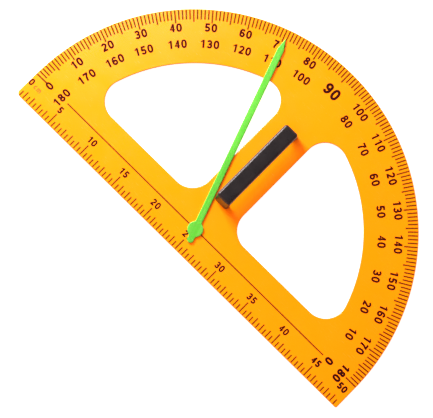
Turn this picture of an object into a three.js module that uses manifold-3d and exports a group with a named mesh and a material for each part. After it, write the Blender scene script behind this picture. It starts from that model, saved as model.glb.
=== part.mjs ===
// Board protractor: a half-disc plate 500 mm wide with two windows, a bridge handle on the web
// between them, and a pointer that turns on a snap pin.
// Millimetres, +Z up. The plate lies flat with its scale face up. The origin is the pointer's
// pivot, on the plate's back face; +X runs along the ruler and +Y towards the 90 degree mark.
import * as THREE from "three";
import { mergeVertices } from "three/addons/utils/BufferGeometryUtils.js";
import Module from "manifold-3d";

const wasm = await Module();
wasm.setup();

// Driving dimensions of the plate
const ARC_RADIUS = 250;
const RULER_DROP = 32; // from the baseline through the pivot down to the ruler edge
const PLATE_THICKNESS = 3;
const LEFT_CORNER = 5; // where the ruler edge meets the sides
const RIGHT_CORNER = 2;
const WEB_WIDTH = 55; // between the two windows
const WINDOW_FLOOR = 24; // the windows' straight lower side, above the baseline
const WINDOW_RADIUS = 188; // the windows' outer side, concentric with the arc
const WINDOW_CORNER = 25;

// Driving dimensions of the handle
const HANDLE_LENGTH = 116;
const HANDLE_CENTRE = 97.4; // from the pivot, along the web
const HANDLE_WIDTH = 19;
const HANDLE_HEIGHT = 28;
const HANDLE_EDGE = 3.2; // rounding of the upright corners and of the long top edges
const HANDLE_END_LEAN = 2.8; // each end leans in by this much from foot to top
const HANDLE_TOP_CORNER = 3;
const FOOT_LENGTH = 6;
const GRIP_GAP = 18; // clear height for the fingers under the bar
const GRIP_CORNER = 8;
const GRIP_LEAN = 2;

// Driving dimensions of the pointer
const POINTER_REACH = 239;
const POINTER_TAPER = 14; // length of the sharp end
const POINTER_ROOT_WIDTH = 7.6;
const POINTER_WIDTH = 7.8; // at the shoulder of the sharp end
const POINTER_THICKNESS = 2;
const POINTER_FILLET = 2.5; // where the hub meets the arm and the tail
const TAIL_REACH = 16.5;
const TAIL_WIDTH = 7.6;
const HUB_RADIUS = 9;
const POINTER_ANGLE = 109.3; // degrees from +X, beside the handle's lower foot

// Driving dimensions of the pivot and the fasteners
const GAP = 0.3; // between pieces that rest on each other
const PIN_RADIUS = 2.2;
const RUNNING_GAP = 0.1; // radial, between the pin and the hub that turns on it
const PIN_HEAD_RADIUS = 6;
const PIN_HEAD_THICKNESS = 1.2;
const BARB_RADIUS = 2.6;
const BARB_HEIGHT = 0.5;
const BARB_CLEARANCE = 0.4; // radial
const BARB_PLAY = 0.2; // above and below the barb
const HUB_SKIN = 0.6; // closed top of the hub over the pin
const SCREW_RADIUS = 1.25;
const SCREW_HEAD_RADIUS = 2.8;
const SCREW_LENGTH = 10;
const SCREW_INSET = 3.5; // from the handle's end to the screw's axis
const RECESS_LENGTH = 3;
const RECESS_WIDTH = 0.7;
const RECESS_DEPTH = 0.8;

const ARC_STEPS = 120;
const CORNER_STEPS = 8;
const ROUND_STEPS = 48;

const POINTER_BOTTOM = PLATE_THICKNESS + GAP;
const POINTER_TOP = POINTER_BOTTOM + POINTER_THICKNESS;
const HANDLE_BOTTOM = PLATE_THICKNESS + GAP;
const HANDLE_TOP = PLATE_THICKNESS + HANDLE_HEIGHT;
const SCREW_PLACES = {
  lower: HANDLE_CENTRE - HANDLE_LENGTH / 2 + SCREW_INSET,
  upper: HANDLE_CENTRE + HANDLE_LENGTH / 2 - SCREW_INSET,
};

// Points along an arc about (x, y), both ends included; angles in radians.
function arc(x, y, radius, from, to, steps) {
  return Array.from({ length: steps + 1 }, (_, i) => {
    const angle = from + ((to - from) * i) / steps;
    return new THREE.Vector2(x + radius * Math.cos(angle), y + radius * Math.sin(angle));
  });
}

// A polygon with each corner [x, y, radius] rounded by an arc.
function rounded(corners) {
  return corners.flatMap(([x, y, radius], i) => {
    const corner = new THREE.Vector2(x, y);
    if (!radius) return [corner];
    const before = corners.at(i - 1);
    const after = corners[(i + 1) % corners.length];
    const back = new THREE.Vector2(before[0], before[1]).sub(corner).normalize();
    const ahead = new THREE.Vector2(after[0], after[1]).sub(corner).normalize();
    const half = Math.acos(back.dot(ahead)) / 2;
    const centre = back.clone().add(ahead).normalize().multiplyScalar(radius / Math.sin(half));
    centre.add(corner);
    const start = back.multiplyScalar(radius / Math.tan(half)).add(corner).sub(centre).angle();
    const end = ahead.multiplyScalar(radius / Math.tan(half)).add(corner).sub(centre).angle();
    const turn = ((end - start + 3 * Math.PI) % (2 * Math.PI)) - Math.PI;
    return arc(centre.x, centre.y, radius, start, start + turn, CORNER_STEPS);
  });
}

// A closed geometry as a solid: shared vertices merged, triangles of no area dropped.
function solidOf(geometry) {
  const bare = geometry.index ? geometry.toNonIndexed() : geometry.clone();
  bare.deleteAttribute("normal");
  bare.deleteAttribute("uv");
  const merged = mergeVertices(bare, 1e-4);
  const triVerts = [];
  for (let i = 0; i < merged.index.count; i += 3) {
    const [a, b, c] = merged.index.array.slice(i, i + 3);
    if (a !== b && b !== c && c !== a) triVerts.push(a, b, c);
  }
  const vertProperties = merged.attributes.position.array;
  const triangles = new Uint32Array(triVerts);
  return new wasm.Manifold(new wasm.Mesh({ numProp: 3, vertProperties, triVerts: triangles }));
}

function geometryOf(solid) {
  const { vertProperties, triVerts } = solid.getMesh();
  const geometry = new THREE.BufferGeometry();
  geometry.setAttribute("position", new THREE.BufferAttribute(vertProperties, 3));
  geometry.setIndex(new THREE.BufferAttribute(triVerts, 1));
  geometry.computeVertexNormals();
  return geometry;
}

// A flat outline, with any holes, made solid from z = bottom to z = top.
function slab(outline, bottom, top, holes = []) {
  const shape = new THREE.Shape(outline);
  shape.holes = holes.map((hole) => new THREE.Path(hole));
  const geometry = new THREE.ExtrudeGeometry(shape, { depth: top - bottom, bevelEnabled: false });
  return solidOf(geometry.translate(0, 0, bottom));
}

// A turned solid about Z. The profile's points are [radius, z], from the lower pole to the upper.
function turned(profile, x = 0, y = 0) {
  const points = profile.map(([radius, z]) => new THREE.Vector2(radius, z));
  const geometry = new THREE.LatheGeometry(points, ROUND_STEPS);
  return solidOf(geometry.rotateX(Math.PI / 2).translate(x, y, 0));
}

function cylinder(radius, bottom, top, x = 0, y = 0) {
  return turned([[0, bottom], [radius, bottom], [radius, top], [0, top]], x, y);
}

function piece(name, solid, color, roughness, metalness = 0) {
  const material = new THREE.MeshStandardMaterial({ color, roughness, metalness });
  const mesh = new THREE.Mesh(geometryOf(solid), material);
  mesh.name = name;
  return mesh;
}

// The arc over the top, straight sides down to the ruler edge, and two small round corners.
function plateOutline() {
  const leftX = LEFT_CORNER - ARC_RADIUS;
  const rightX = ARC_RADIUS - RIGHT_CORNER;
  const quarter = Math.PI / 2;
  return [
    ...arc(0, 0, ARC_RADIUS, 0, 2 * quarter, ARC_STEPS),
    ...arc(leftX, LEFT_CORNER - RULER_DROP, LEFT_CORNER, 2 * quarter, 3 * quarter, CORNER_STEPS),
    ...arc(rightX, RIGHT_CORNER - RULER_DROP, RIGHT_CORNER, 3 * quarter, 4 * quarter, CORNER_STEPS),
  ];
}

// One window: a straight side along the web, a straight floor and an outer arc, all corners round.
// side is 1 for the window at +X and -1 for its mirror image.
function windowOutline(side) {
  const inner = WEB_WIDTH / 2 + WINDOW_CORNER;
  const low = WINDOW_FLOOR + WINDOW_CORNER;
  const reach = WINDOW_RADIUS - WINDOW_CORNER;
  const lowAngle = Math.asin(low / reach);
  const highAngle = Math.acos(inner / reach);
  const steps = 2 * CORNER_STEPS;
  const outline = [
    ...arc(inner, low, WINDOW_CORNER, Math.PI, 1.5 * Math.PI, steps),
    ...arc(reach * Math.cos(lowAngle), low, WINDOW_CORNER, -Math.PI / 2, lowAngle, steps),
    ...arc(0, 0, WINDOW_RADIUS, lowAngle, highAngle, ARC_STEPS / 3).slice(1, -1),
    ...arc(inner, reach * Math.sin(highAngle), WINDOW_CORNER, highAngle, Math.PI, steps),
  ];
  return outline.map((point) => new THREE.Vector2(side * point.x, point.y));
}

// The screw's shape, or the hole it sits in when grown by a gap.
function screwSolid(y, grow = 0) {
  const radius = SCREW_RADIUS + grow;
  const head = SCREW_HEAD_RADIUS + grow;
  const top = SCREW_LENGTH + grow;
  return turned([[0, 0], [head, 0], [radius, head - radius], [radius, top], [0, top]], 0, y);
}

function makePlate() {
  const holes = [windowOutline(1), windowOutline(-1)];
  const plate = slab(plateOutline(), 0, PLATE_THICKNESS, holes);
  return Object.values(SCREW_PLACES)
    .reduce((solid, y) => solid.subtract(screwSolid(y, GAP)), plate)
    .subtract(cylinder(PIN_HEAD_RADIUS + GAP, -1, PIN_HEAD_THICKNESS + GAP))
    .subtract(cylinder(PIN_RADIUS + GAP, -1, PLATE_THICKNESS + 1));
}

// The handle's side view, with two feet, a bar and the finger gap between them, crossed with its
// views from above and from the end, which round the upright corners and the long top edges.
function makeHandle() {
  const low = HANDLE_CENTRE - HANDLE_LENGTH / 2;
  const high = HANDLE_CENTRE + HANDLE_LENGTH / 2;
  const gripTop = PLATE_THICKNESS + GRIP_GAP;
  const profile = rounded([
    [low, HANDLE_BOTTOM, 0],
    [low + FOOT_LENGTH, HANDLE_BOTTOM, 0],
    [low + FOOT_LENGTH + GRIP_LEAN, gripTop, GRIP_CORNER],
    [high - FOOT_LENGTH - GRIP_LEAN, gripTop, GRIP_CORNER],
    [high - FOOT_LENGTH, HANDLE_BOTTOM, 0],
    [high, HANDLE_BOTTOM, 0],
    [high - HANDLE_END_LEAN, HANDLE_TOP, HANDLE_TOP_CORNER],
    [low + HANDLE_END_LEAN, HANDLE_TOP, HANDLE_TOP_CORNER],
  ]);
  const geometry = new THREE.ExtrudeGeometry(new THREE.Shape(profile), {
    depth: 2 * HANDLE_WIDTH,
    bevelEnabled: false,
  });
  // The profile's own x and y become the part's Y and Z, and its depth runs along X.
  const turn = new THREE.Matrix4().set(0, 0, 1, 0, 1, 0, 0, 0, 0, 1, 0, 0, 0, 0, 0, 1);
  geometry.applyMatrix4(turn).translate(-HANDLE_WIDTH, 0, 0);
  const side = HANDLE_WIDTH / 2;
  const above = rounded([
    [-side, low, HANDLE_EDGE],
    [side, low, HANDLE_EDGE],
    [side, high, HANDLE_EDGE],
    [-side, high, HANDLE_EDGE],
  ]);
  const across = rounded([
    [-side, 0, 0],
    [side, 0, 0],
    [side, HANDLE_TOP, HANDLE_EDGE],
    [-side, HANDLE_TOP, HANDLE_EDGE],
  ]);
  const bridge = solidOf(geometry)
    .intersect(slab(above, 0, HANDLE_TOP + 1))
    .intersect(slab(across, -high - 1, 1 - low).rotate([90, 0, 0]));
  const holes = Object.values(SCREW_PLACES).map((y) => screwSolid(y, GAP));
  return holes.reduce((solid, hole) => solid.subtract(hole), bridge);
}

// A countersunk screw with a cross recess, its head flush with the plate's back face.
function makeScrew(y) {
  const along = RECESS_LENGTH / 2;
  const across = RECESS_WIDTH / 2;
  const cross = [
    [along, across],
    [across, along],
  ].map(([x, dy]) =>
    slab(
      [[-x, y - dy], [x, y - dy], [x, y + dy], [-x, y + dy]].map(([u, v]) => new THREE.Vector2(u, v)),
      -1,
      RECESS_DEPTH,
    ),
  );
  return cross.reduce((solid, slot) => solid.subtract(slot), screwSolid(y));
}

// The pin: a flat head in the plate's back, a round shank, and a barb that holds the hub.
function makePin() {
  const tip = POINTER_TOP - HUB_SKIN - BARB_PLAY;
  const barb = tip - BARB_HEIGHT;
  return turned([
    [0, 0],
    [PIN_HEAD_RADIUS, 0],
    [PIN_HEAD_RADIUS, PIN_HEAD_THICKNESS],
    [PIN_RADIUS, PIN_HEAD_THICKNESS],
    [PIN_RADIUS, barb],
    [BARB_RADIUS, barb],
    [PIN_RADIUS * 0.7, tip],
    [0, tip],
  ]);
}

// The pointer from above, lying along its own +X: a sharp-ended arm that widens a little on its way
// out, a round hub and a round tail, with a fillet on each side where the hub meets the others.
function pointerOutline() {
  const shoulder = POINTER_REACH - POINTER_TAPER;
  const root = POINTER_ROOT_WIDTH / 2;
  const wide = POINTER_WIDTH / 2;
  const flare = Math.atan2(wide - root, shoulder);
  const spread = HUB_RADIUS + POINTER_FILLET;
  const armAngle = flare + Math.asin((root * Math.cos(flare) + POINTER_FILLET) / spread);
  const tailAngle = Math.PI - Math.asin((TAIL_WIDTH / 2 + POINTER_FILLET) / spread);
  const down = 1.5 * Math.PI;
  const fillet = (angle, from, to) =>
    arc(spread * Math.cos(angle), spread * Math.sin(angle), POINTER_FILLET, from, to, CORNER_STEPS);
  const upper = [
    new THREE.Vector2(shoulder, wide),
    ...fillet(armAngle, down + flare, Math.PI + armAngle).slice(0, -1),
    ...arc(0, 0, HUB_RADIUS, armAngle, tailAngle, CORNER_STEPS * 2),
    ...fillet(tailAngle, Math.PI + tailAngle, down).slice(1),
  ];
  const lower = upper.map(({ x, y }) => new THREE.Vector2(x, -y)).reverse();
  const tailCentre = TAIL_REACH - TAIL_WIDTH / 2;
  const tail = arc(-tailCentre, 0, TAIL_WIDTH / 2, Math.PI / 2, down, CORNER_STEPS * 2);
  return [new THREE.Vector2(POINTER_REACH, 0), ...upper, ...tail, ...lower];
}

// The hub's blind bore runs on the pin, and its undercut holds the pin's barb.
function makePointer() {
  const boreTop = POINTER_TOP - HUB_SKIN;
  const undercutBottom = boreTop - BARB_HEIGHT - 2 * BARB_PLAY;
  return slab(pointerOutline(), POINTER_BOTTOM, POINTER_TOP)
    .subtract(cylinder(PIN_RADIUS + RUNNING_GAP, 0, boreTop))
    .subtract(cylinder(BARB_RADIUS + BARB_CLEARANCE, undercutBottom, boreTop));
}

const protractor = new THREE.Group();
protractor.add(piece("scale_plate", makePlate(), "#ffbc14", 0.35));
protractor.add(piece("handle_grip", makeHandle(), "#373232", 0.4));
for (const [place, y] of Object.entries(SCREW_PLACES)) {
  protractor.add(piece(`handle_screw_${place}`, makeScrew(y), "#b8bcc0", 0.35, 1));
}
protractor.add(piece("pivot_pin", makePin(), "#e8e6df", 0.4));

const pointerTurn = new THREE.Group();
pointerTurn.rotation.z = THREE.MathUtils.degToRad(POINTER_ANGLE);
pointerTurn.add(piece("pointer_arm", makePointer(), "#6de245", 0.35));
protractor.add(pointerTurn);

export default protractor;
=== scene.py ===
import math
from functools import partial

import bmesh
import bpy
from mathutils import Matrix, Vector
from mathutils.geometry import delaunay_2d_cdt


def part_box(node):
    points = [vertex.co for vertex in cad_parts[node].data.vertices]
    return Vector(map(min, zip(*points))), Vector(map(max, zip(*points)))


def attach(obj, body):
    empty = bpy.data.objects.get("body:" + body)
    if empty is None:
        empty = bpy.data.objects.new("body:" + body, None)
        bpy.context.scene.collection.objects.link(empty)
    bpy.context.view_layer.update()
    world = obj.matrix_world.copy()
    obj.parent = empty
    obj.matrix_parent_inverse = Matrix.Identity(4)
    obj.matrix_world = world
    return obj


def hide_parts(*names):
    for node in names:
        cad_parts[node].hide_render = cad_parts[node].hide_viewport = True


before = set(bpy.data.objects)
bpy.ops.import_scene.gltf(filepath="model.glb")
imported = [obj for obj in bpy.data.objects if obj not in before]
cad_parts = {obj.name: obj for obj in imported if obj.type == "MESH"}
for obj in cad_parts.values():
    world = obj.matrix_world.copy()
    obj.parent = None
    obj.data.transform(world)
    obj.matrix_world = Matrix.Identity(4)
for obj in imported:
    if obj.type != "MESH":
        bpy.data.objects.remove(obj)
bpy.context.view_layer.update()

# A board protractor lying flat, scale face up. Metres, in the CAD frame: the pointer's pivot is the
# origin, +X runs along the ruler and +Y towards the 90 degree mark.

MM = 0.001

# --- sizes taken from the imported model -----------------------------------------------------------

plate_low, plate_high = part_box("scale_plate")
handle_low, handle_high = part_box("handle_grip")
pin_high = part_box("pivot_pin")[1]
pointer_low, pointer_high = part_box("pointer_arm")
screw_boxes = [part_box("handle_screw_lower"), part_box("handle_screw_upper")]

ARC_RADIUS = plate_high.x
RULER_DROP = -plate_low.y
PLATE_TOP = plate_high.z
PIN_HEAD_RADIUS = pin_high.x

# --- sizes of the shapes the boxes don't tell ----------------------------------------------------

FIT_GAP = 0.3 * MM
LEFT_CORNER = 5 * MM
RIGHT_CORNER = 2 * MM
PLATE_EDGE = 0.9 * MM  # rounding of the plate's long edges
WEB_WIDTH = 55 * MM
WINDOW_FLOOR = 24 * MM
WINDOW_RADIUS = 188 * MM
WINDOW_CORNER = 25 * MM
PIN_SHANK_RADIUS = 2.2 * MM
PIN_RECESS_DEPTH = 1.5 * MM
SCREW_SHANK_RADIUS = 1.25 * MM

HANDLE_END_LEAN = 2.8 * MM
HANDLE_TOP_CORNER = 3 * MM
HANDLE_EDGE = 3.2 * MM  # rounding of the outside
GRIP_EDGE = 0.8 * MM  # rounding of the finger gap
FOOT_LENGTH = 6 * MM
FOOT_CORNER = 0.3 * MM
GRIP_GAP = 18 * MM
GRIP_CORNER = 8 * MM
GRIP_LEAN = 2 * MM

POINTER_ANGLE = math.radians(109.3)
POINTER_REACH = 239 * MM
POINTER_TAPER = 14 * MM
POINTER_ROOT_WIDTH = 7.6 * MM
POINTER_WIDTH = 7.8 * MM
POINTER_EDGE = 0.6 * MM  # width of the bevel along the top
POINTER_RIM = 0.2 * MM  # bevel along the bottom
POINTER_FILLET = 2.5 * MM
TAIL_REACH = 16.5 * MM
TAIL_WIDTH = 7.6 * MM
HUB_RADIUS = 9 * MM

# --- meshes --------------------------------------------------------------------------------------

WELD = 1e-7  # points nearer than this are one point
SMOOTH_ANGLE = math.radians(35)  # edges that bend more stay sharp


def link(name, mesh, material=None):
    piece = bpy.data.objects.new(name, mesh)
    bpy.context.scene.collection.objects.link(piece)
    if material:
        mesh.materials.append(material)
    return piece


def finish_mesh(name, bm, matrix=None):
    """Turns a bmesh into a mesh with clean normals, smooth over small angles only."""
    bmesh.ops.remove_doubles(bm, verts=bm.verts, dist=WELD)
    bmesh.ops.recalc_face_normals(bm, faces=bm.faces)
    mesh = bpy.data.meshes.new(name)
    bm.to_mesh(mesh)
    bm.free()
    if matrix:
        mesh.transform(matrix)
    mesh.shade_smooth()
    mesh.set_sharp_from_angle(angle=SMOOTH_ANGLE)
    return mesh


def weigh_normals(piece):
    """Lets the large flat faces set the shading, so that only the rounded edges curve."""
    modifier = piece.modifiers.new("weighted", "WEIGHTED_NORMAL")
    modifier.keep_sharp = True
    modifier.weight = 100
    bpy.context.view_layer.update()
    shaded = bpy.data.meshes.new_from_object(piece.evaluated_get(bpy.context.evaluated_depsgraph_get()))
    piece.modifiers.clear()
    old, piece.data = piece.data, shaded
    shaded.name = old.name
    bpy.data.meshes.remove(old)
    return piece


def outline(arcs, inset=0.0):
    """Points of a closed outline of arcs joined by straight lines, moved into the material by inset.

    Each arc is (x, y, radius, start, end, steps) in radians. The material is on the left, so an arc
    that turns left is an outer corner and shrinks, and one that turns right grows.
    """
    points = []
    for x, y, radius, start, end, steps in arcs:
        moved = radius - inset if end > start else radius + inset
        if moved <= 0:  # the rounding is used up: the two sides meet at one point
            middle = (start + end) / 2
            moved /= math.cos((end - start) / 2)
            points.append((x + moved * math.cos(middle), y + moved * math.sin(middle)))
            continue
        for i in range(steps + 1):
            angle = start + (end - start) * i / steps
            points.append((x + moved * math.cos(angle), y + moved * math.sin(angle)))
    return points


def rounded_polygon(corners, steps=8):
    """The arcs of a polygon whose corners are (x, y, radius), counter-clockwise."""
    arcs = []
    for i, (x, y, radius) in enumerate(corners):
        corner = Vector((x, y))
        back = (Vector(corners[i - 1][:2]) - corner).normalized()
        ahead = (Vector(corners[(i + 1) % len(corners)][:2]) - corner).normalized()
        half = math.acos(max(-1, min(1, back.dot(ahead)))) / 2
        centre = corner + (back + ahead).normalized() * radius / math.sin(half)
        start = corner + back * radius / math.tan(half) - centre
        turn = math.pi - 2 * half
        if back.cross(ahead) > 0:  # a corner that turns right
            turn = -turn
        angle = math.atan2(start.y, start.x)
        arcs.append((centre.x, centre.y, radius, angle, angle + turn, steps))
    return arcs


def circle_hole(x, y, radius, steps=64):
    """A round hole, clockwise, so that the material is outside it."""
    return [(x, y, radius, 2 * math.pi * (1 - 1 / steps), 0, steps - 1)]


def round_edges(top, bottom, radius, steps=3):
    """An edge profile of (inset, z) from the top face to the bottom face, rounded at both."""
    bend = [radius * (1 - math.sin(math.pi / 2 * i / steps)) for i in range(steps + 1)]
    rise = [radius * (1 - math.cos(math.pi / 2 * i / steps)) for i in range(steps + 1)]
    upper = [(inset, top - drop) for inset, drop in zip(bend, rise)]
    lower = [(inset, bottom + drop) for inset, drop in zip(reversed(bend), reversed(rise))]
    return upper + lower


def slab(name, loops, matrix=None):
    """A flat piece with shaped edges. Each loop is (shape, profile): shape(inset) gives its points,
    and profile its (inset, z) pairs from the top face to the bottom face."""
    bm = bmesh.new()
    for shape, profile in loops:
        rings = [[bm.verts.new((x, y, z)) for x, y in shape(inset)] for inset, z in profile]
        for upper, lower in zip(rings, rings[1:]):
            join_rings(bm, upper, lower)
    bmesh.ops.remove_doubles(bm, verts=bm.verts, dist=WELD)
    rims = [edge for edge in bm.edges if edge.is_boundary]
    for level in {loops[0][1][0][1], loops[0][1][-1][1]}:
        rim = [edge for edge in rims if abs(edge.verts[0].co.z - level) < WELD]
        bmesh.ops.triangle_fill(bm, use_beauty=True, edges=rim)
    return finish_mesh(name, bm, matrix)


def join_rings(bm, upper, lower):
    """Faces between two closed rings; a ring with fewer points is met by triangles."""
    if len(upper) == len(lower):
        for i, vert in enumerate(upper):
            j = (i + 1) % len(upper)
            bm.faces.new((vert, lower[i], lower[j], upper[j]))
        return
    edges = []
    for ring in (upper, lower):
        edges += [ring_edge(bm, ring[i - 1], ring[i]) for i in range(len(ring))]
    bmesh.ops.bridge_loops(bm, edges=edges)


def ring_edge(bm, a, b):
    return bm.edges.get((a, b)) or bm.edges.new((a, b))


# --- materials -----------------------------------------------------------------------------------

class Nodes:
    """A short way to wire a material's nodes."""

    def __init__(self, name):
        self.material = bpy.data.materials.new(name)
        self.material.use_nodes = True
        self.tree = self.material.node_tree
        self.shader = self.tree.nodes["Principled BSDF"]
        coordinates = self.tree.nodes.new("ShaderNodeTexCoord")
        self.place = coordinates.outputs["Object"]
        self.normal = coordinates.outputs["Normal"]

    def join(self, source, target):
        self.tree.links.new(source, target)

    def feed(self, socket, source):
        """Drives one of the shader's sockets."""
        self.join(source, self.shader.inputs[socket])

    def stretched(self, scale):
        node = self.tree.nodes.new("ShaderNodeMapping")
        node.inputs["Scale"].default_value = scale
        self.join(self.place, node.inputs["Vector"])
        return node.outputs["Vector"]

    def noise(self, scale, detail=3.0, vector=None, distortion=0.0):
        node = self.tree.nodes.new("ShaderNodeTexNoise")
        node.inputs["Scale"].default_value = scale
        node.inputs["Detail"].default_value = detail
        node.inputs["Distortion"].default_value = distortion
        self.join(vector or self.place, node.inputs["Vector"])
        return node.outputs["Fac"]

    def cells(self, scale):
        node = self.tree.nodes.new("ShaderNodeTexVoronoi")
        node.inputs["Scale"].default_value = scale
        self.join(self.place, node.inputs["Vector"])
        return node.outputs["Distance"]

    def spread(self, value, low, high, start=0.3, end=0.7):
        node = self.tree.nodes.new("ShaderNodeMapRange")
        for socket, number in (("From Min", start), ("From Max", end), ("To Min", low), ("To Max", high)):
            node.inputs[socket].default_value = number
        self.join(value, node.inputs["Value"])
        return node.outputs["Result"]

    def calculate(self, operation, *values):
        node = self.tree.nodes.new("ShaderNodeMath")
        node.operation = operation
        for value, socket in zip(values, node.inputs):
            self.join(value, socket)
        return node.outputs["Value"]

    def blend(self, value, dark, light, start=0.3, end=0.7):
        node = self.tree.nodes.new("ShaderNodeValToRGB")
        node.color_ramp.elements[0].position = start
        node.color_ramp.elements[0].color = (*dark, 1)
        node.color_ramp.elements[1].position = end
        node.color_ramp.elements[1].color = (*light, 1)
        self.join(value, node.inputs["Fac"])
        return node.outputs["Color"]

    def bump(self, height, strength, distance, under=None):
        node = self.tree.nodes.new("ShaderNodeBump")
        node.inputs["Strength"].default_value = strength
        node.inputs["Distance"].default_value = distance
        self.join(height, node.inputs["Height"])
        if under:
            self.join(under, node.inputs["Normal"])
        return node.outputs["Normal"]

    def set(self, **values):
        for socket, value in values.items():
            self.shader.inputs[socket.replace("_", " ")].default_value = value


def linear(red, green, blue):
    """A screen colour of 0 to 255 as the linear values that Blender works in."""
    def one(value):
        value /= 255
        return value / 12.92 if value <= 0.04045 else ((value + 0.055) / 1.055) ** 2.4
    return one(red), one(green), one(blue)


def plate_plastic():
    """Orange-yellow sheet plastic: glossy, faintly cloudy, with hairline handling scratches, and darker
    wherever it doesn't face up or down: painted shade on the upright cut edges."""
    nodes = Nodes("plate_plastic")
    cloud = nodes.noise(9, detail=4)
    face = nodes.blend(cloud, linear(252, 160, 3), linear(255, 166, 6))
    # Painted shade: faces that don't look up or down, the upright cut edges, are mixed towards a dark
    # ochre.
    facing = nodes.tree.nodes.new("ShaderNodeSeparateXYZ")
    nodes.join(nodes.normal, facing.inputs["Vector"])
    flat = nodes.spread(nodes.calculate("ABSOLUTE", facing.outputs["Z"]), 0.0, 1.0, start=0.65, end=0.98)
    cover = nodes.tree.nodes.new("ShaderNodeMix")
    cover.data_type = "RGBA"
    cover.inputs["A"].default_value = (*linear(112, 96, 8), 1)
    nodes.join(flat, cover.inputs["Factor"])
    nodes.join(face, cover.inputs["B"])
    nodes.feed("Base Color", cover.outputs["Result"])
    haze = nodes.spread(nodes.noise(55, detail=5), 0.15, 0.24)
    hairlines = nodes.noise(120, detail=2, vector=nodes.stretched((1, 14, 1)), distortion=0.4)
    scratches = nodes.spread(hairlines, 0.0, 0.1, start=0.62, end=0.72)
    nodes.feed("Roughness", nodes.calculate("ADD", haze, scratches))
    peel = nodes.bump(nodes.noise(260, detail=2), 0.12, 0.05 * MM)
    nodes.feed("Normal", nodes.bump(hairlines, 0.05, 0.02 * MM, under=peel))
    return nodes.material


def handle_plastic():
    """Satin black moulding with a fine spark-eroded grain."""
    nodes = Nodes("handle_plastic")
    cloud = nodes.noise(70, detail=5)
    nodes.feed("Base Color", nodes.blend(cloud, linear(19, 26, 31), linear(27, 34, 39)))
    nodes.feed("Roughness", nodes.spread(nodes.noise(240, detail=4), 0.27, 0.33))
    grain = nodes.bump(nodes.cells(1500), 0.25, 0.06 * MM)
    soft = nodes.bump(nodes.noise(700, detail=3), 0.2, 0.05 * MM, under=grain)
    nodes.feed("Normal", soft)
    nodes.set(Specular_IOR_Level=0.32)
    return nodes.material


def pointer_plastic():
    """Bright green moulding with faint flow marks along its length."""
    nodes = Nodes("pointer_plastic")
    turn = nodes.tree.nodes.new("ShaderNodeVectorRotate")
    turn.rotation_type = "Z_AXIS"
    turn.inputs["Angle"].default_value = -POINTER_ANGLE
    nodes.join(nodes.place, turn.inputs["Vector"])
    flow = nodes.tree.nodes.new("ShaderNodeMapping")
    flow.inputs["Scale"].default_value = (0.12, 1, 1)
    nodes.join(turn.outputs["Vector"], flow.inputs["Vector"])
    marks = nodes.noise(260, detail=4, vector=flow.outputs["Vector"])
    nodes.feed("Base Color", nodes.blend(marks, linear(80, 202, 62), linear(92, 212, 74)))
    nodes.feed("Roughness", nodes.spread(marks, 0.28, 0.42))
    nodes.feed("Normal", nodes.bump(marks, 0.15, 0.05 * MM))
    nodes.set(Subsurface_Weight=0.4, Subsurface_Radius=(0.2, 1.0, 0.15), Subsurface_Scale=3 * MM)
    return nodes.material


def nylon():
    """Natural nylon, slightly milky."""
    nodes = Nodes("natural_nylon")
    cloud = nodes.noise(400, detail=4)
    nodes.feed("Base Color", nodes.blend(cloud, linear(222, 218, 206), linear(238, 235, 226)))
    nodes.feed("Roughness", nodes.spread(cloud, 0.35, 0.5))
    nodes.feed("Normal", nodes.bump(nodes.noise(1200, detail=2), 0.2, 0.04 * MM))
    return nodes.material


def zinc_steel():
    """Zinc-plated steel with the rings left by turning."""
    nodes = Nodes("zinc_steel")
    cloud = nodes.noise(900, detail=5)
    nodes.feed("Base Color", nodes.blend(cloud, linear(168, 172, 174), linear(206, 208, 206)))
    nodes.feed("Roughness", nodes.spread(cloud, 0.24, 0.4))
    nodes.feed("Normal", nodes.bump(nodes.cells(2600), 0.2, 0.03 * MM))
    nodes.set(Metallic=1.0)
    return nodes.material


def ink(name, dark, light):
    """Screen-printed ink: a matt film with a slightly uneven cover."""
    nodes = Nodes(name)
    cover = nodes.noise(900, detail=4)
    nodes.feed("Base Color", nodes.blend(cover, dark, light))
    nodes.feed("Roughness", nodes.spread(nodes.noise(500), 0.42, 0.6))
    nodes.feed("Normal", nodes.bump(cover, 0.2, 0.02 * MM))
    nodes.set(Specular_IOR_Level=0.1)
    return nodes.material


# --- the plate -----------------------------------------------------------------------------------

def plate_arcs():
    """The arc over the top and the two small round corners at the ends of the ruler edge."""
    left, right = LEFT_CORNER, RIGHT_CORNER
    return [
        (0, 0, ARC_RADIUS, 0, math.pi, 360),
        (left - ARC_RADIUS, left - RULER_DROP, left, math.pi, 1.5 * math.pi, 12),
        (ARC_RADIUS - right, right - RULER_DROP, right, 1.5 * math.pi, 2 * math.pi, 12),
    ]


def window_arcs(side):
    """One window, with the material on the left; side is 1 at +X and -1 for the mirror image."""
    inner = WEB_WIDTH / 2 + WINDOW_CORNER
    low = WINDOW_FLOOR + WINDOW_CORNER
    reach = WINDOW_RADIUS - WINDOW_CORNER
    low_angle = math.asin(low / reach)
    high_angle = math.acos(inner / reach)
    arcs = [
        (inner, low, WINDOW_CORNER, 1.5 * math.pi, math.pi, 24),
        (inner, reach * math.sin(high_angle), WINDOW_CORNER, math.pi, high_angle, 36),
        (0, 0, WINDOW_RADIUS, high_angle, low_angle, 120),
        (reach * math.cos(low_angle), low, WINDOW_CORNER, low_angle, -math.pi / 2, 36),
    ]
    if side > 0:
        return arcs
    return [(-x, y, r, math.pi - end, math.pi - start, n) for x, y, r, start, end, n in reversed(arcs)]


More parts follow.
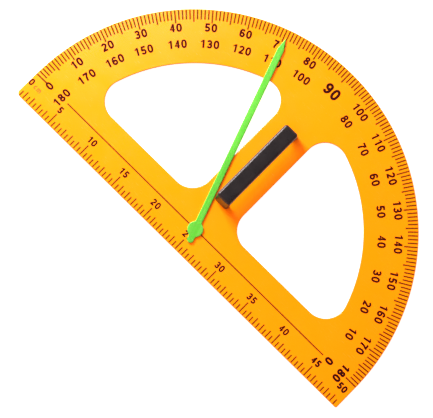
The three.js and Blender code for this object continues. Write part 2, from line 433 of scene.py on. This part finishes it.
def make_plate():
    edge = round_edges(PLATE_TOP, 0, PLATE_EDGE)
    loops = [(partial(outline, plate_arcs()), edge)]
    loops += [(partial(outline, window_arcs(side)), edge) for side in (1, -1)]
    pin_hole = PIN_SHANK_RADIUS + FIT_GAP
    recess = PIN_HEAD_RADIUS + FIT_GAP - pin_hole
    steps = [(0, PLATE_TOP), (0, PIN_RECESS_DEPTH), (recess, PIN_RECESS_DEPTH), (recess, 0)]
    loops.append((partial(outline, circle_hole(0, 0, pin_hole)), steps))
    for low, high in screw_boxes:
        hole = SCREW_SHANK_RADIUS + FIT_GAP
        sink = (high.x - low.x) / 2 + FIT_GAP - hole
        place = circle_hole(0, (low.y + high.y) / 2, hole)
        loops.append((partial(outline, place), [(0, PLATE_TOP), (0, sink), (sink, 0)]))
    return weigh_normals(link("plate_moulding", slab("plate_moulding", loops), plate_plastic()))


# --- the printed scale ---------------------------------------------------------------------------

INK_TOP = PLATE_TOP + 0.04 * MM
INK_FOOT = PLATE_TOP - 0.06 * MM
EDGE_MARGIN = PLATE_EDGE  # the print stops where the rounded edge starts
DEGREE_TICKS = {10: 16 * MM, 5: 15 * MM, 1: 12.2 * MM}  # length of each tenth, fifth and single degree
DEGREE_WEIGHT = 1.75 * MM
HALF_CENTIMETRE = 5 * MM
RULER_ZERO = -250.9 * MM
RULER_TICKS = {10: 15 * MM, 2: 10.3 * MM, 1: 7.6 * MM}  # length at each fifth, whole and half centimetre
RULER_WEIGHT = 1.6 * MM
BASELINE_WEIGHT = 1.55 * MM
BASELINE_REACH = (-201 * MM, 199 * MM)
OUTER_NUMERALS = 228.3 * MM  # radius of the numerals' middles
INNER_NUMERALS = 209.4 * MM
ARC_NUMERAL_HEIGHT = 9.4 * MM
ARC_NUMERAL_SHIFT = -1.0 * MM  # both rings are printed a little to the left of the degree marks
OUTER_SLIPS = {140: -1.7 * MM}  # a few numerals stand off their places, along the reading direction
INNER_SLIPS = {10: -2.7 * MM, 40: -2.7 * MM, 100: 1.0 * MM, 150: -1.9 * MM}
ARC_NUMERAL_PITCH = 0.82  # of the height
TOP_NUMERAL_RADIUS = 219 * MM
TOP_NUMERAL_HEIGHT = 13 * MM
RULER_NUMERAL_RISE = -10.7 * MM
RULER_NUMERAL_HEIGHT = 7.8 * MM
RULER_NUMERAL_PITCH = 0.81
RULER_NUMERAL_SHIFT = -0.3 * MM  # the numerals stand a little to the left of their ticks
RULER_SLIPS = {0: 4.7 * MM, 50: -9.5 * MM}  # the first and the last stand inside the sides
UNIT_PLACE = (-236.4 * MM, -14.7 * MM)  # middle of the unit's baseline
UNIT_PITCH = 0.62

# Glyphs are drawn in a box one unit high. Each stroke is (points, closed, weight).
GLYPH_WIDTH = 0.64
GLYPH_MIDDLE = GLYPH_WIDTH / 2
STROKE = 0.24
THIN = 0.13
HEAVY = 1.15  # how much heavier the numerals near the right end are printed


def bow(x, y, rx, ry, start, end, steps=20, power=1.0):
    """Points along part of an oval; angles in degrees. A power under 1 makes it squarer."""
    points = []
    for i in range(steps + 1):
        angle = math.radians(start + (end - start) * i / steps)
        c, s = math.cos(angle), math.sin(angle)
        points.append((
            x + rx * math.copysign(abs(c) ** power, c),
            y + ry * math.copysign(abs(s) ** power, s),
        ))
    return points


def oval(x, y, rx, ry, power=1.0):
    return (bow(x, y, rx, ry, 0, 345, 23, power), True, STROKE)


def line(*points, weight=STROKE):
    return (list(points), False, weight)


def curve(*parts, weight=STROKE):
    """One open stroke through points and lists of points."""
    points = []
    for part in parts:
        points += part if isinstance(part, list) else [part]
    return (points, False, weight)


SIX = [oval(0.32, 0.31, 0.225, 0.22), curve(bow(0.345, 0.5, 0.25, 0.41, 190, 38))]
GLYPHS = {
    "0": [oval(GLYPH_MIDDLE, 0.5, 0.23, 0.41, 0.86)],
    "1": [curve((0.08, 0.72), (0.2, 0.78), (0.3, 0.86), (0.345, 0.94), weight=0.15),
          line((0.41, 0), (0.41, 1))],
    "2": [curve(bow(0.32, 0.69, 0.215, 0.21, 172, -35), (0.14, 0.12)), line((0.03, 0.09), (0.61, 0.09))],
    "3": [curve(bow(0.31, 0.7, 0.2, 0.21, 165, -75), (0.2, 0.515)),
          curve((0.2, 0.515), bow(0.31, 0.3, 0.225, 0.21, 75, -165))],
    "4": [line((0.44, 0), (0.44, 1)), curve((0.4, 0.92), (0.1, 0.29), (0.64, 0.29), weight=0.16)],
    "5": [line((0.12, 0.91), (0.59, 0.91)), line((0.185, 1.0), (0.125, 0.44)),
          curve(bow(0.31, 0.315, 0.225, 0.225, 148, -160))],
    "6": SIX,
    "7": [curve((0.03, 0.915), (0.53, 0.915), bow(0.69, 0.0, 0.43, 0.86, 115, 180, 10))],
    "8": [oval(GLYPH_MIDDLE, 0.73, 0.185, 0.18), oval(GLYPH_MIDDLE, 0.29, 0.225, 0.2)],
    "9": [([(GLYPH_WIDTH - x, 1 - y) for x, y in points], closed, w) for points, closed, w in SIX],
    "c": [curve(bow(0.27, 0.29, 0.19, 0.22, 45, 315), weight=THIN)],
    "m": [line((0.06, 0), (0.06, 0.56), weight=THIN),
          curve(bow(0.19, 0.33, 0.13, 0.18, 160, 0), (0.32, 0), weight=THIN),
          curve(bow(0.45, 0.33, 0.13, 0.18, 180, 0), (0.58, 0), weight=THIN)],
}


def ribbon(points, closed, weight):
    """The quads of a stroke of even weight, mitred at its corners."""
    count = len(points)
    path = [Vector(point) for point in points]
    sides = []
    for i, point in enumerate(path):
        before = path[i - 1] if closed or i else None
        after = path[(i + 1) % count] if closed or i < count - 1 else None
        arriving = (point - before).normalized() if before else (after - point).normalized()
        leaving = (after - point).normalized() if after else arriving
        along = (arriving + leaving).normalized()
        across = Vector((-along.y, along.x))
        half = weight / 2 / max(0.5, across.dot(Vector((-leaving.y, leaving.x))))
        sides.append((point + across * half, point - across * half))
    pairs = list(zip(sides, sides[1:] + sides[:1] if closed else sides[1:]))
    return [(a[0], a[1], b[1], b[0]) for a, b in pairs]


def glyph_triangles(strokes):
    """The union of a glyph's strokes as flat triangles."""
    corners, faces = [], []
    for stroke in strokes:
        for quad in ribbon(*stroke):
            faces.append(list(range(len(corners), len(corners) + 4)))
            corners += quad
    points, _, found, _, _, sources = delaunay_2d_cdt(corners, [], faces, 0, 1e-5)
    return points, [face for face, source in zip(found, sources) if source]


GLYPH_SHAPES = {letter: glyph_triangles(strokes) for letter, strokes in GLYPHS.items()}
HEAVY_SHAPES = {
    letter: glyph_triangles([(points, closed, weight * HEAVY) for points, closed, weight in GLYPHS[letter]])
    for letter in "01458"
}


def print_shape(bm, points, faces, matrix):
    """Adds a flat shape as a thin film of ink that stands just proud of the plate."""
    tops = [bm.verts.new((*(matrix @ Vector((x, y, 0))).xy, INK_TOP)) for x, y in points]
    feet = [bm.verts.new((vert.co.x, vert.co.y, INK_FOOT)) for vert in tops]
    used = {}
    for face in faces:
        bm.faces.new([tops[i] for i in face])
        bm.faces.new([feet[i] for i in reversed(face)])
        for a, b in zip(face, face[1:] + face[:1]):
            used[(a, b)] = (b, a) not in used
            if not used[(a, b)]:
                used[(b, a)] = False
    for (a, b), rim in used.items():
        if rim:
            bm.faces.new((tops[b], tops[a], feet[a], feet[b]))
    for vert in [vert for vert in tops + feet if not vert.link_faces]:
        bm.verts.remove(vert)


def print_bar(bm, start, end, weight, matrix=Matrix()):
    """Adds a straight printed line between two points."""
    along = (Vector(end) - Vector(start)).normalized()
    across = Vector((-along.y, along.x)) * weight / 2
    corners = [Vector(start) + across, Vector(start) - across, Vector(end) - across, Vector(end) + across]
    print_shape(bm, corners, [[0, 1, 2, 3]], matrix)


def print_text(bm, text, middle, angle, height, pitch, shapes=GLYPH_SHAPES):
    """Adds a number or a word centred on a point, its baseline turned by angle."""
    base = Matrix.Translation((*middle, 0)) @ Matrix.Rotation(angle, 4, "Z") @ Matrix.Scale(height, 4)
    first = -(len(text) - 1) * pitch / 2 - GLYPH_MIDDLE
    for i, letter in enumerate(text):
        shift = Matrix.Translation((first + i * pitch, -0.5, 0))
        print_shape(bm, *shapes[letter], base @ shift)


def printed(name, bm, material):
    piece = link(name, finish_mesh(name, bm), material)
    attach(piece, "plate")


def longest(lengths, count):
    """The length of the coarsest division that count falls on."""
    return next(length for step, length in lengths.items() if count % step == 0)


def make_scale():
    brown = ink("ink_brown", linear(50, 9, 1), linear(60, 12, 2))
    line_brown = ink("ink_line_brown", linear(94, 54, 3), linear(104, 62, 4))
    black = ink("ink_black", linear(40, 5, 2), linear(48, 8, 3))
    faint = ink("ink_faint", linear(146, 98, 36), linear(158, 108, 42))

    ticks = bmesh.new()
    for degree in range(181):
        turn = Matrix.Rotation(math.pi - math.radians(degree), 4, "Z")
        length = longest(DEGREE_TICKS, degree)
        print_bar(ticks, (ARC_RADIUS - EDGE_MARGIN, 0), (ARC_RADIUS - length, 0), DEGREE_WEIGHT, turn)
    printed("degree_ticks", ticks, line_brown)

    ruler = bmesh.new()
    for count in range(1, round(2 * ARC_RADIUS / HALF_CENTIMETRE)):
        x = RULER_ZERO + count * HALF_CENTIMETRE
        foot = EDGE_MARGIN - RULER_DROP
        print_bar(ruler, (x, foot), (x, longest(RULER_TICKS, count) - RULER_DROP), RULER_WEIGHT)
    printed("ruler_ticks", ruler, line_brown)

    baseline = bmesh.new()
    print_bar(baseline, (BASELINE_REACH[0], 0), (BASELINE_REACH[1], 0), BASELINE_WEIGHT)
    printed("baseline", baseline, line_brown)

    numerals, dark_numerals = bmesh.new(), bmesh.new()
    plain, heavy = (numerals, GLYPH_SHAPES), (dark_numerals, HEAVY_SHAPES)
    for degree in range(0, 181, 10):
        if degree == 90:
            continue
        angle = math.pi - math.radians(degree)
        along = Vector((math.sin(angle), -math.cos(angle)))
        rings = ((degree, OUTER_NUMERALS, OUTER_SLIPS), (180 - degree, INNER_NUMERALS, INNER_SLIPS))
        for number, radius, slips in rings:
            middle = Vector((radius * math.cos(angle) + ARC_NUMERAL_SHIFT, radius * math.sin(angle)))
            middle += along * slips.get(number, 0)
            bm, shapes = heavy if degree == 180 else plain
            print_text(bm, str(number), middle, angle - math.pi / 2,
                       ARC_NUMERAL_HEIGHT, ARC_NUMERAL_PITCH, shapes)
    for centimetres in range(0, 51, 5):
        x = RULER_ZERO + centimetres * 2 * HALF_CENTIMETRE + RULER_NUMERAL_SHIFT
        x += RULER_SLIPS.get(centimetres, 0)
        bm, shapes = heavy if centimetres >= 45 else plain
        print_text(bm, str(centimetres), (x, RULER_NUMERAL_RISE), 0,
                   RULER_NUMERAL_HEIGHT, RULER_NUMERAL_PITCH, shapes)
    printed("scale_numerals", numerals, brown)
    print_text(dark_numerals, "90", (0, TOP_NUMERAL_RADIUS), 0, TOP_NUMERAL_HEIGHT, ARC_NUMERAL_PITCH)
    printed("dark_numerals", dark_numerals, black)

    unit = bmesh.new()
    print_text(unit, "cm", (UNIT_PLACE[0], UNIT_PLACE[1] + RULER_NUMERAL_HEIGHT / 2), 0,
               RULER_NUMERAL_HEIGHT, UNIT_PITCH)
    printed("ruler_unit", unit, faint)


# --- the handle ----------------------------------------------------------------------------------

def handle_side(inset):
    """Points of the bridge seen from the side: two feet and a bar. The inset pulls in the outside in
    full and the finger gap only in part."""
    low, high, foot = handle_low.y + inset, handle_high.y - inset, PLATE_TOP
    top, crown = handle_high.z - inset, max(HANDLE_TOP_CORNER - inset, FOOT_CORNER)
    pull = inset * GRIP_EDGE / HANDLE_EDGE
    near, far = handle_low.y + FOOT_LENGTH - pull, handle_high.y - FOOT_LENGTH + pull
    grip, bend = PLATE_TOP + GRIP_GAP + pull, GRIP_CORNER + pull
    return outline(rounded_polygon([
        (low, foot, FOOT_CORNER),
        (near, foot, FOOT_CORNER),
        (near + GRIP_LEAN, grip, bend),
        (far - GRIP_LEAN, grip, bend),
        (far, foot, FOOT_CORNER),
        (high, foot, FOOT_CORNER),
        (high - HANDLE_END_LEAN, top, crown),
        (low + HANDLE_END_LEAN, top, crown),
    ]))


def make_handle():
    """The side view made solid across the handle's width."""
    turn = Matrix(((0, 0, 1, 0), (1, 0, 0, 0), (0, 1, 0, 0), (0, 0, 0, 1)))
    width = round_edges(handle_high.x, handle_low.x, HANDLE_EDGE, steps=5)
    mesh = slab("handle_moulding", [(handle_side, width)], turn)
    return weigh_normals(link("handle_moulding", mesh, handle_plastic()))


# --- the pointer ---------------------------------------------------------------------------------

def pointer_arcs():
    """The pointer along its own +X: an arm with a sharp end, a round hub and a round tail, and a
    fillet on each side where the hub meets the arm and the tail."""
    shoulder = POINTER_REACH - POINTER_TAPER
    root, wide = POINTER_ROOT_WIDTH / 2, POINTER_WIDTH / 2
    slope = math.atan2(wide, POINTER_TAPER)
    flare = math.atan2(wide - root, shoulder)
    spread = HUB_RADIUS + POINTER_FILLET
    arm = flare + math.asin((root * math.cos(flare) + POINTER_FILLET) / spread)
    tail = math.pi - math.asin((TAIL_WIDTH / 2 + POINTER_FILLET) / spread)
    down = 1.5 * math.pi

    def fillet(angle, start, end):
        return (spread * math.cos(angle), spread * math.sin(angle), POINTER_FILLET, start, end, 10)

    upper = [
        (shoulder, wide, 0, math.pi / 2 - slope, math.pi / 2 + flare, 1),
        fillet(arm, down + flare, math.pi + arm),
        (0, 0, HUB_RADIUS, arm, tail, 24),
        fillet(tail, math.pi + tail, down),
    ]
    lower = [(x, -y, r, -end, -start, n) for x, y, r, start, end, n in reversed(upper)]
    tip = (POINTER_REACH, 0, 0, slope - math.pi / 2, math.pi / 2 - slope, 1)
    end = (TAIL_WIDTH / 2 - TAIL_REACH, 0, TAIL_WIDTH / 2, math.pi / 2, down, 20)
    return [tip, *upper, end, *lower]


def make_pointer():
    turn = Matrix.Rotation(POINTER_ANGLE, 4, "Z")
    foot, top = pointer_low.z, pointer_high.z
    bevel, rim = POINTER_EDGE, POINTER_RIM
    profile = [(1.3 * bevel, top), (bevel, top - 0.1 * bevel), (0.1 * bevel, top - 0.75 * bevel)]
    profile += [(0, top - bevel), (0, foot + rim), (rim, foot)]
    mesh = slab("pointer_moulding", [(partial(outline, pointer_arcs()), profile)], turn)
    return weigh_normals(link("pointer_moulding", mesh, pointer_plastic()))


# --- put together --------------------------------------------------------------------------------

plate = make_plate()
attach(plate, "plate")
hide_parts("scale_plate")

make_scale()

handle = make_handle()
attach(handle, "plate")
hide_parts("handle_grip")

pointer = make_pointer()
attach(pointer, "pointer")
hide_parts("pointer_arm")

steel = zinc_steel()
small_parts = {"pivot_pin": nylon(), "handle_screw_lower": steel, "handle_screw_upper": steel}
for node, finish in small_parts.items():
    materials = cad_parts[node].data.materials
    materials.clear()
    materials.append(finish)

# --- floor, light and camera ---------------------------------------------------------------------

LOOK_AT = Vector((0.8 * MM, 32.9 * MM, PLATE_TOP))
FLOOR_HALF = 16  # far enough for the horizon to stay out of a low view
FLOOR_DROP = 0.5 * MM  # below the plate, so that the two don't share a plane


def make_floor():
    bm = bmesh.new()
    bmesh.ops.create_grid(bm, x_segments=1, y_segments=1, size=FLOOR_HALF)
    floor = link("floor", finish_mesh("floor", bm, Matrix.Translation((0, 0, -FLOOR_DROP))))
    nodes = Nodes("floor")
    nodes.set(Base_Color=(0.9, 0.9, 0.9, 1), Roughness=0.9, Specular_IOR_Level=0.0)
    nodes.set(Emission_Color=(1, 1, 1, 1), Emission_Strength=0.85)
    floor.data.materials.append(nodes.material)


def from_angles(target, azimuth, elevation, distance):
    """A point seen from target at an azimuth from +X and an elevation, both in degrees."""
    a, e = math.radians(azimuth), math.radians(elevation)
    direction = Vector((math.cos(e) * math.cos(a), math.cos(e) * math.sin(a), math.sin(e)))
    return target + direction * distance


def area_light(name, place, size, power):
    """A square softbox turned towards the plate."""
    light = bpy.data.lights.new(name, "AREA")
    light.shape = "SQUARE"
    light.size = size
    light.energy = power
    lamp = bpy.data.objects.new(name, light)
    lamp.matrix_world = (LOOK_AT - place).to_track_quat("-Z", "Y").to_matrix().to_4x4()
    lamp.location = place
    bpy.context.scene.collection.objects.link(lamp)


def make_camera(azimuth, elevation, distance, roll, lens):
    """A camera that looks at the plate, turned about its own line of sight by roll, in degrees."""
    camera = bpy.data.cameras.new("camera")
    camera.lens = lens
    camera.sensor_width = 36
    camera.clip_end = 50  # past the floor's far end
    seen = bpy.data.objects.new("camera", camera)
    place = from_angles(LOOK_AT, azimuth, elevation, distance)
    forward = (LOOK_AT - place).normalized()
    level = forward.cross(Vector((0, 0, 1))).normalized()
    right = Matrix.Rotation(math.radians(roll), 3, forward) @ level
    up = right.cross(forward)
    seen.matrix_world = Matrix.Translation(place) @ Matrix((right, up, -forward)).transposed().to_4x4()
    bpy.context.scene.collection.objects.link(seen)
    bpy.context.scene.camera = seen


def make_world():
    """A warm room, brighter on the left: dim at the horizon, bright a little above it and dark
    overhead, so that flat faces keep their colour and upright ones stay dark."""
    world = bpy.data.worlds.new("studio")
    bpy.context.scene.world = world
    world.use_nodes = True
    tree = world.node_tree
    place = tree.nodes.new("ShaderNodeTexCoord")
    split = tree.nodes.new("ShaderNodeSeparateXYZ")
    fade = tree.nodes.new("ShaderNodeValToRGB")
    across = tree.nodes.new("ShaderNodeMapRange")
    tree.links.new(place.outputs["Generated"], split.inputs["Vector"])
    tree.links.new(split.outputs["Z"], fade.inputs["Fac"])
    tree.links.new(split.outputs["X"], across.inputs["Value"])
    left, right = 3.6, 0.8  # strength
    for socket, number in (("From Min", -1.0), ("From Max", 1.0), ("To Min", left), ("To Max", right)):
        across.inputs[socket].default_value = number
    levels = ((0.12, 0.1), (0.35, 1.0), (0.75, 0.8), (0.96, 0.06))  # (height, level) from the horizon up
    ramp = fade.color_ramp.elements
    while len(ramp) < len(levels):
        ramp.new(0.5)
    for stop, (height, level) in zip(ramp, levels):
        stop.position = height
        stop.color = (level, 0.37 * level, 0.25 * level, 1)
    background = tree.nodes["Background"]
    tree.links.new(across.outputs["Result"], background.inputs["Strength"])
    tree.links.new(fade.outputs["Color"], background.inputs["Color"])


make_floor()
area_light("key", from_angles(LOOK_AT, azimuth=166, elevation=31, distance=1.3), size=0.4, power=26)
area_light("glare", Vector((-0.8, 0.6, 2.4)), size=0.3, power=5)
make_world()
bpy.context.scene.view_settings.view_transform = "Standard"
make_camera(azimuth=-62.245, elevation=83.363, distance=2.2313, roll=-16.9, lens=166.28)
